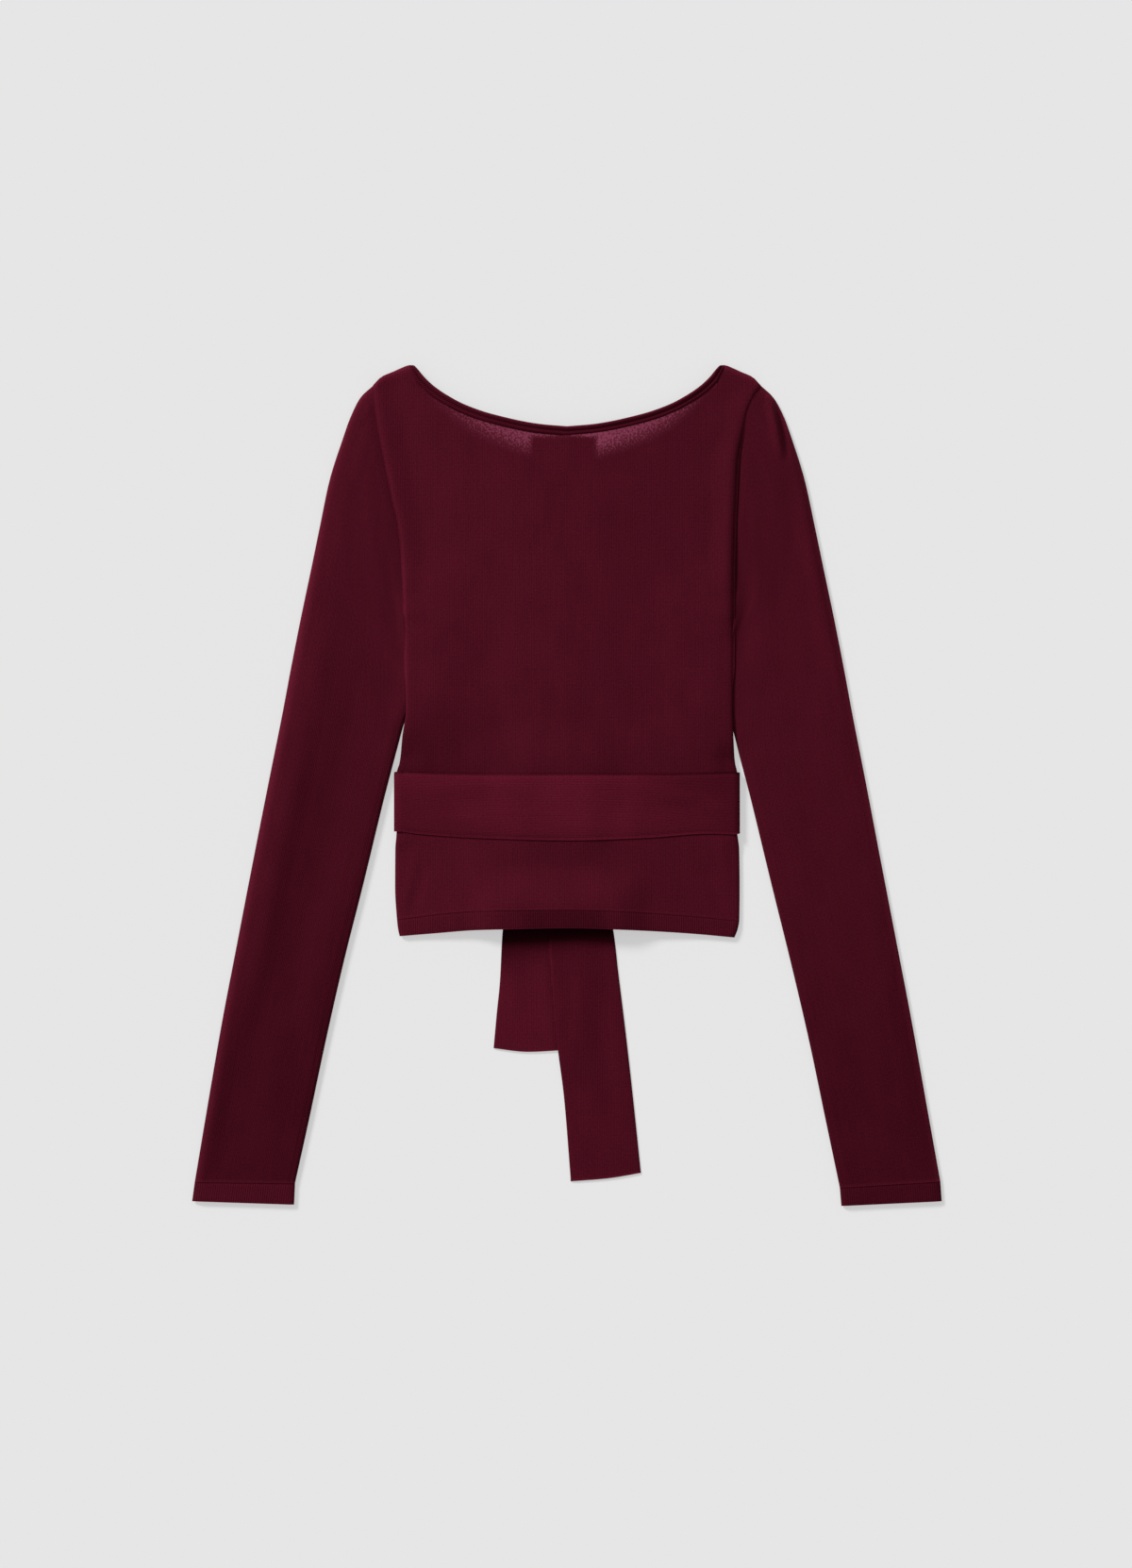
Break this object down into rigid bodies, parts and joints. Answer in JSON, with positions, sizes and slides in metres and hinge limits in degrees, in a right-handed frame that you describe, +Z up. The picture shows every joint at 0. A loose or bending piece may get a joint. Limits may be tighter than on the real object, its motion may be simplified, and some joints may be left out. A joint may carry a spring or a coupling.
{
  "type": "sweater",
  "caption": "Cropped knit top with a boat neck, long slim sleeves and a wide waist sash knotted at the front, laid flat with its back up",
  "frame": {"origin": "On the surface that the garment lies on, under the middle of its outline", "axes": "+Z up from the surface, through the front and then the back; +Y from the hem to the neck; +X across, towards the wearer's right"},
  "size_m": [0.6194, 0.6936, 0.0117],
  "materials": {
    "knit_body": "fine smooth wine-red jersey knit, matt with a soft nap",
    "knit_band": "denser wine-red knit of the neck, cuff and hem bands, matt",
    "knit_sash": "smooth wine-red knit, a little lighter than the body, matt",
    "label_cloth": "plain dark woven tape with nothing on it"
  },
  "bodies": {
    "root": {"back_panel": "knit_body", "front_panel": "knit_body", "sleeve_left": "knit_body", "sleeve_right": "knit_body", "cuff_left": "knit_band", "cuff_right": "knit_band", "hem_band_back": "knit_band", "hem_band_front": "knit_band", "neckband_back": "knit_band", "neckband_front": "knit_band", "belt": "knit_sash", "belt_knot": "knit_sash", "belt_end_short": "knit_sash", "belt_end_long": "knit_sash", "neck_label": "label_cloth"}
  },
  "joints": []
}
